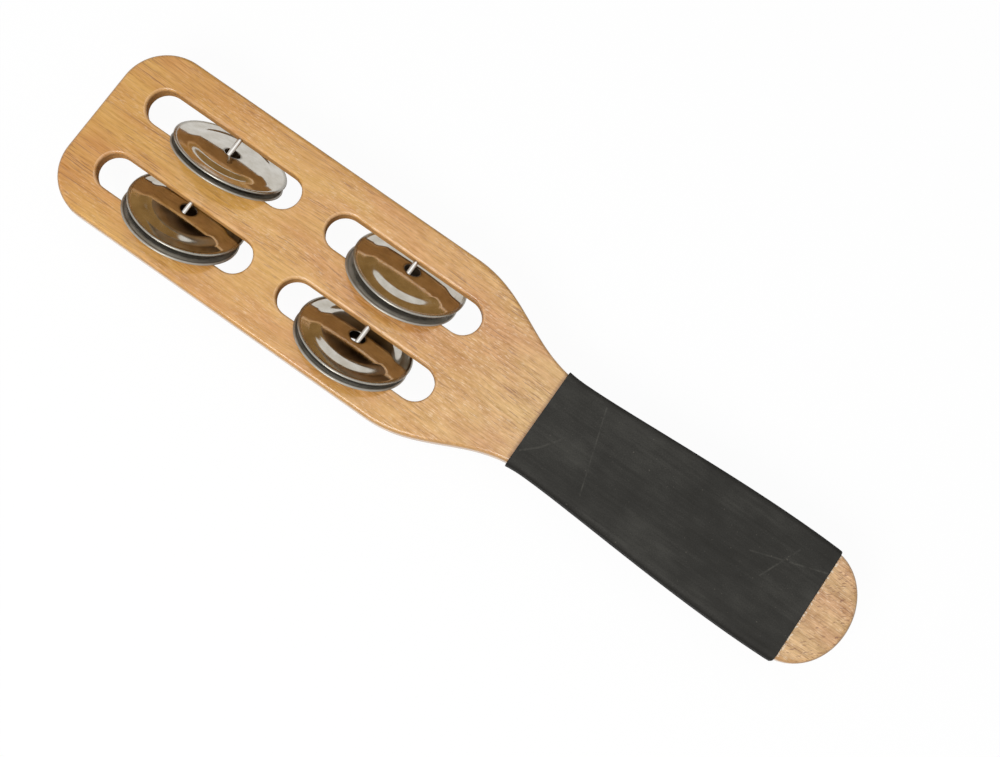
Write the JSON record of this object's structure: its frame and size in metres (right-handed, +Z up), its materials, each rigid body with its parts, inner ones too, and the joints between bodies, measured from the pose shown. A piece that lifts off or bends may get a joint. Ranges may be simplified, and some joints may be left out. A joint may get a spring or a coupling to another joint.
{
  "type": "jingle stick",
  "caption": "Flat wooden hand percussion stick with slots holding pairs of loose metal jingles on steel pins, and a rubber sleeve on its handle.",
  "frame": {"origin": "middle of the sleeve's flat underside", "axes": "+X from the handle to the head along the stick, +Y to the left across it, +Z up out of the paddle's face"},
  "size_m": [0.2911, 0.063, 0.0328],
  "materials": {
    "wood": "thin satin lacquer over fine open-pored straight grain",
    "rubber": "matt black with light scuffs",
    "nickel": "bright nickel plate",
    "steel": "bright drawn wire"
  },
  "bodies": {
    "stick": {"paddle": "wood", "grip_sleeve": "rubber", "front_left_pin": "steel", "front_right_pin": "steel", "rear_left_pin": "steel", "rear_right_pin": "steel"},
    "front_left_jingle_upper": {"front_left_jingle_upper": "nickel"},
    "front_left_jingle_lower": {"front_left_jingle_lower": "nickel"},
    "front_right_jingle_upper": {"front_right_jingle_upper": "nickel"},
    "front_right_jingle_lower": {"front_right_jingle_lower": "nickel"},
    "rear_left_jingle_upper": {"rear_left_jingle_upper": "nickel"},
    "rear_left_jingle_lower": {"rear_left_jingle_lower": "nickel"},
    "rear_right_jingle_upper": {"rear_right_jingle_upper": "nickel"},
    "rear_right_jingle_lower": {"rear_right_jingle_lower": "nickel"}
  },
  "joints": [
    {"name": "front_left_upper_rock", "type": "hinge", "parent": "stick", "child": "front_left_jingle_upper", "pos_m": [0.18185, 0.0093, 0.00395], "axis": [1, 0, 0], "range_deg": [0, 70]},
    {"name": "front_left_lower_rock", "type": "hinge", "parent": "stick", "child": "front_left_jingle_lower", "pos_m": [0.18135, 0.01315, 0.00395], "axis": [1, 0, 0], "range_deg": [0, 70]},
    {"name": "front_right_upper_rock", "type": "hinge", "parent": "stick", "child": "front_right_jingle_upper", "pos_m": [0.18195, -0.01425, 0.00395], "axis": [1, 0, 0], "range_deg": [0, 48]},
    {"name": "front_right_lower_rock", "type": "hinge", "parent": "stick", "child": "front_right_jingle_lower", "pos_m": [0.18145, -0.01155, 0.00395], "axis": [1, 0, 0], "range_deg": [0, 48]},
    {"name": "rear_left_upper_rock", "type": "hinge", "parent": "stick", "child": "rear_left_jingle_upper", "pos_m": [0.11335, 0.01155, 0.00395], "axis": [1, 0, 0], "range_deg": [0, 70]},
    {"name": "rear_left_lower_rock", "type": "hinge", "parent": "stick", "child": "rear_left_jingle_lower", "pos_m": [0.11325, 0.01415, 0.00395], "axis": [1, 0, 0], "range_deg": [0, 70]},
    {"name": "rear_right_upper_rock", "type": "hinge", "parent": "stick", "child": "rear_right_jingle_upper", "pos_m": [0.11185, -0.01645, 0.00395], "axis": [1, 0, 0], "range_deg": [0, 68]},
    {"name": "rear_right_lower_rock", "type": "hinge", "parent": "stick", "child": "rear_right_jingle_lower", "pos_m": [0.11225, -0.0123, 0.00395], "axis": [1, 0, 0], "range_deg": [0, 68]}
  ],
  "couplings": [
    {"joint": "front_left_lower_rock", "follows": "front_left_upper_rock", "ratio": 1},
    {"joint": "front_right_lower_rock", "follows": "front_right_upper_rock", "ratio": 1},
    {"joint": "rear_left_lower_rock", "follows": "rear_left_upper_rock", "ratio": 1},
    {"joint": "rear_right_lower_rock", "follows": "rear_right_upper_rock", "ratio": 1}
  ]
}
